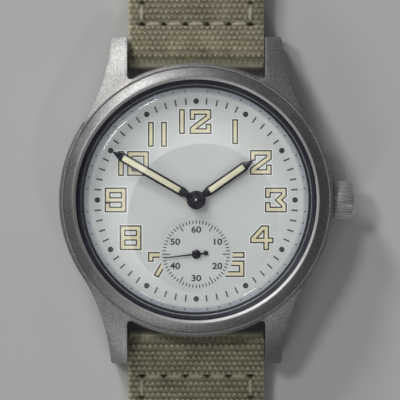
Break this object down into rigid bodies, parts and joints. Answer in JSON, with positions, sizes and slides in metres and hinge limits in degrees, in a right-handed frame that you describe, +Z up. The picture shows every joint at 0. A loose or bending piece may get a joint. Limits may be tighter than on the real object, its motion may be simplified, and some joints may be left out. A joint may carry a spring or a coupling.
{
  "type": "wristwatch",
  "caption": "Round steel field watch with domed crystal, small seconds at six, winding crown, and a two-piece canvas strap with pin buckle, laid flat.",
  "frame": {"origin": "centre of the case back's flat outer face", "axes": "+Z up out of the dial, +Y to 12 o'clock along the strap, +X to the crown"},
  "size_m": [0.039, 0.2358, 0.0115],
  "materials": {
    "case_steel": "fine bead blasted",
    "polished_steel": "polished",
    "crystal": "clear domed acrylic",
    "seal_rubber": "black",
    "dial_lacquer": "satin silver-white lacquer",
    "black_hand": "black",
    "plated_plate": "rhodium plated, fine grained",
    "screw_steel": "polished flats",
    "train_brass": "gilt",
    "spring_steel": "blued",
    "ruby": "synthetic ruby",
    "canvas": "khaki cotton canvas"
  },
  "bodies": {
    "case": {"case_middle": "case_steel", "bezel": "case_steel", "crystal": "crystal", "crystal_gasket": "seal_rubber", "case_back": "case_steel", "case_back_gasket": "seal_rubber", "crown_tube": "polished_steel", "dial": "dial_lacquer", "mainplate": "plated_plate", "barrel_bridge": "plated_plate", "train_bridge": "plated_plate", "balance_cock": "plated_plate", "pallet_bridge": "plated_plate", "bridge_screws": "screw_steel", "casing_screws": "screw_steel", "jewels": "ruby", "click_spring": "screw_steel", "hairspring": "spring_steel", "spring_bar_tube_12": "polished_steel", "spring_bar_tube_6": "polished_steel"},
    "barrel": {"barrel_drum": "train_brass", "barrel_cover": "train_brass", "mainspring": "spring_steel"},
    "ratchet": {"barrel_arbor": "screw_steel", "ratchet_wheel": "screw_steel", "ratchet_screw": "screw_steel"},
    "centre": {"centre_wheel": "train_brass", "cannon_pinion": "screw_steel", "minute_hand": "black_hand"},
    "third": {"third_wheel": "train_brass"},
    "fourth": {"fourth_wheel": "train_brass", "seconds_hand": "black_hand"},
    "escape": {"escape_wheel": "train_brass"},
    "pallets": {"pallet_fork": "screw_steel"},
    "balance_assembly": {"balance": "train_brass"},
    "regulator_index": {"regulator": "screw_steel"},
    "minute_work": {"minute_wheel": "train_brass"},
    "hour": {"hour_wheel": "train_brass", "hour_hand": "black_hand"},
    "setting": {"setting_wheel": "screw_steel"},
    "crown_wheel_body": {"crown_wheel": "screw_steel"},
    "click_pawl": {"click": "screw_steel"},
    "crown_slider": {"crown_gasket": "seal_rubber"},
    "crown_and_stem": {"crown": "case_steel", "winding_stem": "polished_steel"},
    "clutch_pinion": {"clutch": "screw_steel"},
    "winding": {"winding_pinion": "screw_steel"},
    "lever": {"setting_lever": "screw_steel"},
    "yoke_lever": {"yoke": "screw_steel"},
    "strap_12": {"strap_buckle_side": "canvas", "fixed_keeper": "canvas"},
    "strap_6": {"strap_hole_side": "canvas"},
    "keeper_loop": {"sliding_keeper": "canvas"},
    "buckle": {"buckle_frame": "polished_steel", "buckle_bar": "polished_steel"},
    "tongue": {"buckle_tongue": "polished_steel"},
    "pin_12_left": {"spring_bar_pin_12_left": "polished_steel"},
    "pin_12_right": {"spring_bar_pin_12_right": "polished_steel"},
    "pin_6_left": {"spring_bar_pin_6_left": "polished_steel"},
    "pin_6_right": {"spring_bar_pin_6_right": "polished_steel"}
  },
  "joints": [
    {"name": "minute_hand_turn", "type": "hinge", "parent": "case", "child": "centre", "pos_m": [0, 0, 0], "axis": [0, 0, -1], "continuous": true},
    {"name": "barrel_turn", "type": "hinge", "parent": "case", "child": "barrel", "pos_m": [0.002, 0.0055, 0], "axis": [0, 0, -1], "continuous": true},
    {"name": "third_wheel_turn", "type": "hinge", "parent": "case", "child": "third", "pos_m": [0.00307, -0.00416, 0], "axis": [0, 0, -1], "continuous": true},
    {"name": "seconds_hand_turn", "type": "hinge", "parent": "case", "child": "fourth", "pos_m": [0, -0.0071, 0], "axis": [0, 0, -1], "continuous": true},
    {"name": "escape_wheel_turn", "type": "hinge", "parent": "case", "child": "escape", "pos_m": [-0.00368, -0.00645, 0], "axis": [0, 0, -1], "continuous": true},
    {"name": "minute_wheel_turn", "type": "hinge", "parent": "case", "child": "minute_work", "pos_m": [0.0024, 0, 0], "axis": [0, 0, -1], "continuous": true},
    {"name": "hour_hand_turn", "type": "hinge", "parent": "case", "child": "hour", "pos_m": [0, 0, 0], "axis": [0, 0, -1], "continuous": true},
    {"name": "setting_wheel_turn", "type": "hinge", "parent": "case", "child": "setting", "pos_m": [0.00512, 0, 0], "axis": [0, 0, -1], "continuous": true},
    {"name": "pallet_rock", "type": "hinge", "parent": "case", "child": "pallets", "pos_m": [-0.00509, -0.00427, 0], "axis": [0, 0, 1], "range_deg": [-5, 5]},
    {"name": "balance_swing", "type": "hinge", "parent": "case", "child": "balance_assembly", "pos_m": [-0.0072, -0.001, 0], "axis": [0, 0, 1], "range_deg": [-280, 280], "stiffness_Nm_per_rad": 0.00000025, "deforming": ["hairspring"]},
    {"name": "regulator_turn", "type": "hinge", "parent": "case", "child": "regulator_index", "pos_m": [-0.0072, -0.001, 0], "axis": [0, 0, 1], "range_deg": [-20, 20]},
    {"name": "crown_pull", "type": "slide", "parent": "case", "child": "crown_slider", "axis": [1, 0, 0], "range_m": [0, 0.0008]},
    {"name": "crown_turn", "type": "hinge", "parent": "crown_slider", "child": "crown_and_stem", "pos_m": [0, 0, 0.0043], "axis": [1, 0, 0], "continuous": true},
    {"name": "clutch_slide", "type": "slide", "parent": "crown_and_stem", "child": "clutch_pinion", "axis": [1, 0, 0], "range_m": [-0.0017, 0]},
    {"name": "winding_pinion_turn", "type": "hinge", "parent": "case", "child": "winding", "pos_m": [0, 0, 0.0043], "axis": [1, 0, 0], "continuous": true},
    {"name": "crown_wheel_turn", "type": "hinge", "parent": "case", "child": "crown_wheel_body", "pos_m": [0.00665, 0, 0], "axis": [0, 0, 1], "continuous": true},
    {"name": "ratchet_turn", "type": "hinge", "parent": "case", "child": "ratchet", "pos_m": [0.002, 0.0055, 0], "axis": [0, 0, 1], "continuous": true, "deforming": ["mainspring"]},
    {"name": "click_rock", "type": "hinge", "parent": "case", "child": "click_pawl", "pos_m": [-0.0032, 0.0085, 0], "axis": [0, 0, 1], "range_deg": [0, 12], "stiffness_Nm_per_rad": 0.00002, "springref_deg": -5.73, "deforming": ["click_spring"]},
    {"name": "setting_lever_turn", "type": "hinge", "parent": "case", "child": "lever", "pos_m": [0.011, 0.0029, 0], "axis": [0, 0, 1], "range_deg": [0, 16]},
    {"name": "yoke_turn", "type": "hinge", "parent": "case", "child": "yoke_lever", "pos_m": [0.00805, -0.0036, 0], "axis": [0, 0, 1], "range_deg": [0, 18.5]},
    {"name": "strap_12_swing", "type": "hinge", "parent": "case", "child": "strap_12", "pos_m": [0, 0.0193, 0.00235], "axis": [1, 0, 0], "range_deg": [-75, 45]},
    {"name": "strap_6_swing", "type": "hinge", "parent": "case", "child": "strap_6", "pos_m": [0, -0.0193, 0.00235], "axis": [1, 0, 0], "range_deg": [-45, 75]},
    {"name": "buckle_swing", "type": "hinge", "parent": "strap_12", "child": "buckle", "pos_m": [0, 0.0893, 0.0033], "axis": [1, 0, 0], "range_deg": [-60, 60]},
    {"name": "tongue_swing", "type": "hinge", "parent": "buckle", "child": "tongue", "pos_m": [0, 0.0893, 0.0033], "axis": [1, 0, 0], "range_deg": [0, 95]},
    {"name": "keeper_slide", "type": "slide", "parent": "strap_12", "child": "keeper_loop", "axis": [0, 1, 0], "range_m": [-0.02, 0.008]},
    {"name": "spring_bar_pin_12_left_push", "type": "slide", "parent": "case", "child": "pin_12_left", "axis": [1, 0, 0], "range_m": [0, 0.0012], "stiffness_N_per_m": 500, "springref_m": -0.001},
    {"name": "spring_bar_pin_12_right_push", "type": "slide", "parent": "case", "child": "pin_12_right", "axis": [-1, 0, 0], "range_m": [0, 0.0012], "stiffness_N_per_m": 500, "springref_m": -0.001},
    {"name": "spring_bar_pin_6_left_push", "type": "slide", "parent": "case", "child": "pin_6_left", "axis": [1, 0, 0], "range_m": [0, 0.0012], "stiffness_N_per_m": 500, "springref_m": -0.001},
    {"name": "spring_bar_pin_6_right_push", "type": "slide", "parent": "case", "child": "pin_6_right", "axis": [-1, 0, 0], "range_m": [0, 0.0012], "stiffness_N_per_m": 500, "springref_m": -0.001}
  ],
  "couplings": [
    {"joint": "barrel_turn", "follows": "minute_hand_turn", "ratio": -0.125},
    {"joint": "third_wheel_turn", "follows": "minute_hand_turn", "ratio": -8},
    {"joint": "seconds_hand_turn", "follows": "minute_hand_turn", "ratio": 60},
    {"joint": "escape_wheel_turn", "follows": "minute_hand_turn", "ratio": -600},
    {"joint": "minute_wheel_turn", "follows": "minute_hand_turn", "ratio": -0.33333},
    {"joint": "hour_hand_turn", "follows": "minute_hand_turn", "ratio": 0.083333},
    {"joint": "setting_wheel_turn", "follows": "minute_hand_turn", "ratio": 0.66667},
    {"joint": "clutch_slide", "follows": "crown_pull", "ratio": -2.0625},
    {"joint": "winding_pinion_turn", "follows": "crown_turn", "ratio": 1},
    {"joint": "crown_wheel_turn", "follows": "crown_turn", "ratio": 0.59259},
    {"joint": "ratchet_turn", "follows": "crown_turn", "ratio": -0.35556},
    {"joint": "setting_lever_turn", "follows": "crown_pull", "rad_per_m": 344.87},
    {"joint": "yoke_turn", "follows": "crown_pull", "rad_per_m": 398}
  ]
}
